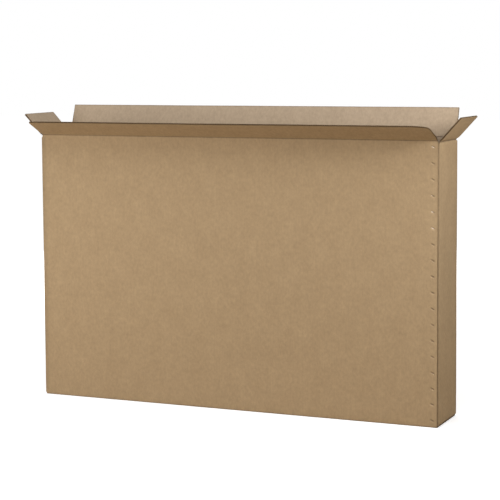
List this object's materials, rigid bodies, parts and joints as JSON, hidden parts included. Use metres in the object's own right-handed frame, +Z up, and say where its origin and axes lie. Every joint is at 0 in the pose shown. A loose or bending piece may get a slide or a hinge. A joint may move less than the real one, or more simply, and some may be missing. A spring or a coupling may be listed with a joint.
{
  "type": "bicycle shipping carton",
  "caption": "Tall, narrow carton of double-wall corrugated board for shipping a bicycle upright, standing open with its top flaps leaning outwards and a wire-stitched lap.",
  "frame": {"origin": "middle of the base, on the seam of the two long bottom flaps; the mount lies 2 mm in front of it, on the front bottom flap's underside", "axes": "+X along the length, towards the end beside the stitched lap; +Y from the front panel to the back panel; +Z up"},
  "size_m": [2.0835, 0.4321, 1.3374],
  "materials": {
    "board": "unbleached kraft liner, matt, unprinted",
    "stitch_wire": "flat stitching wire with a dull copper wash"
  },
  "bodies": {
    "carton": {"carton_body": "board", "stitch_01": "stitch_wire", "stitch_02": "stitch_wire", "stitch_03": "stitch_wire", "stitch_04": "stitch_wire", "stitch_05": "stitch_wire", "stitch_06": "stitch_wire", "stitch_07": "stitch_wire", "stitch_08": "stitch_wire", "stitch_09": "stitch_wire", "stitch_10": "stitch_wire", "stitch_11": "stitch_wire", "stitch_12": "stitch_wire", "stitch_13": "stitch_wire", "stitch_14": "stitch_wire", "stitch_15": "stitch_wire", "stitch_16": "stitch_wire", "stitch_17": "stitch_wire", "stitch_18": "stitch_wire"},
    "front_flap": {"top_flap_front": "board"},
    "right_flap": {"top_flap_right": "board"},
    "back_flap": {"top_flap_back": "board"},
    "left_flap": {"top_flap_left": "board"}
  },
  "joints": [
    {"name": "front_flap_fold", "type": "hinge", "parent": "carton", "child": "front_flap", "pos_m": [0, -0.134, 1.209], "axis": [1, 0, 0], "range_deg": [-153, 97]},
    {"name": "right_flap_fold", "type": "hinge", "parent": "carton", "child": "right_flap", "pos_m": [0.949, 0, 1.2017], "axis": [0, 1, 0], "range_deg": [-133, 117]},
    {"name": "back_flap_fold", "type": "hinge", "parent": "carton", "child": "back_flap", "pos_m": [0, 0.134, 1.209], "axis": [-1, 0, 0], "range_deg": [-109, 141]},
    {"name": "left_flap_fold", "type": "hinge", "parent": "carton", "child": "left_flap", "pos_m": [-0.949, 0, 1.2017], "axis": [0, -1, 0], "range_deg": [-134, 116]}
  ]
}
